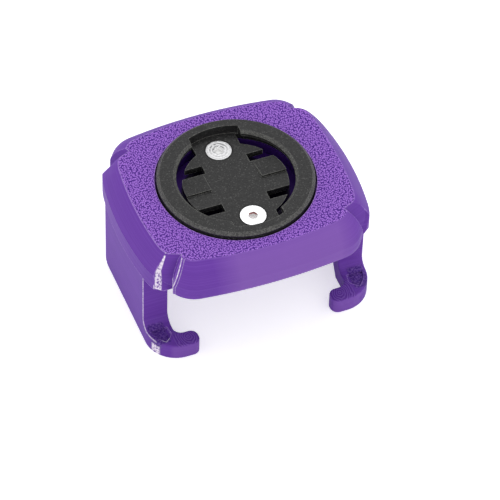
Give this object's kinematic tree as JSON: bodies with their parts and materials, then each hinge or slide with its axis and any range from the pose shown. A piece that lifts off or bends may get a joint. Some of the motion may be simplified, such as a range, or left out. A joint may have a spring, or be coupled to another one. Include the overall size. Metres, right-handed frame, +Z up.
{
  "type": "bike computer mount",
  "caption": "Clip-on bracket with a quarter-turn socket in its crowned top plate, side walls, and front legs that end in inward-turned hooked feet.",
  "frame": {"origin": "on the socket's axis, in the plane that the walls and hooked feet stand on", "axes": "+Z up along the socket's axis, +X from one side wall to the other, -Y towards the hooked feet"},
  "size_m": [0.0564, 0.0502, 0.0314],
  "materials": {
    "printed_plastic": "3-D printed, pebbled plate face, fine layer lines on the skirt and walls",
    "moulded_plastic": "moulded black nylon with a fine grain",
    "screw_steel": "turned stainless steel",
    "nut_steel": "stainless steel"
  },
  "bodies": {
    "root": {"bracket": "printed_plastic", "quarter_turn_insert": "moulded_plastic", "insert_screws": "screw_steel", "lock_nuts": "nut_steel"}
  },
  "joints": []
}
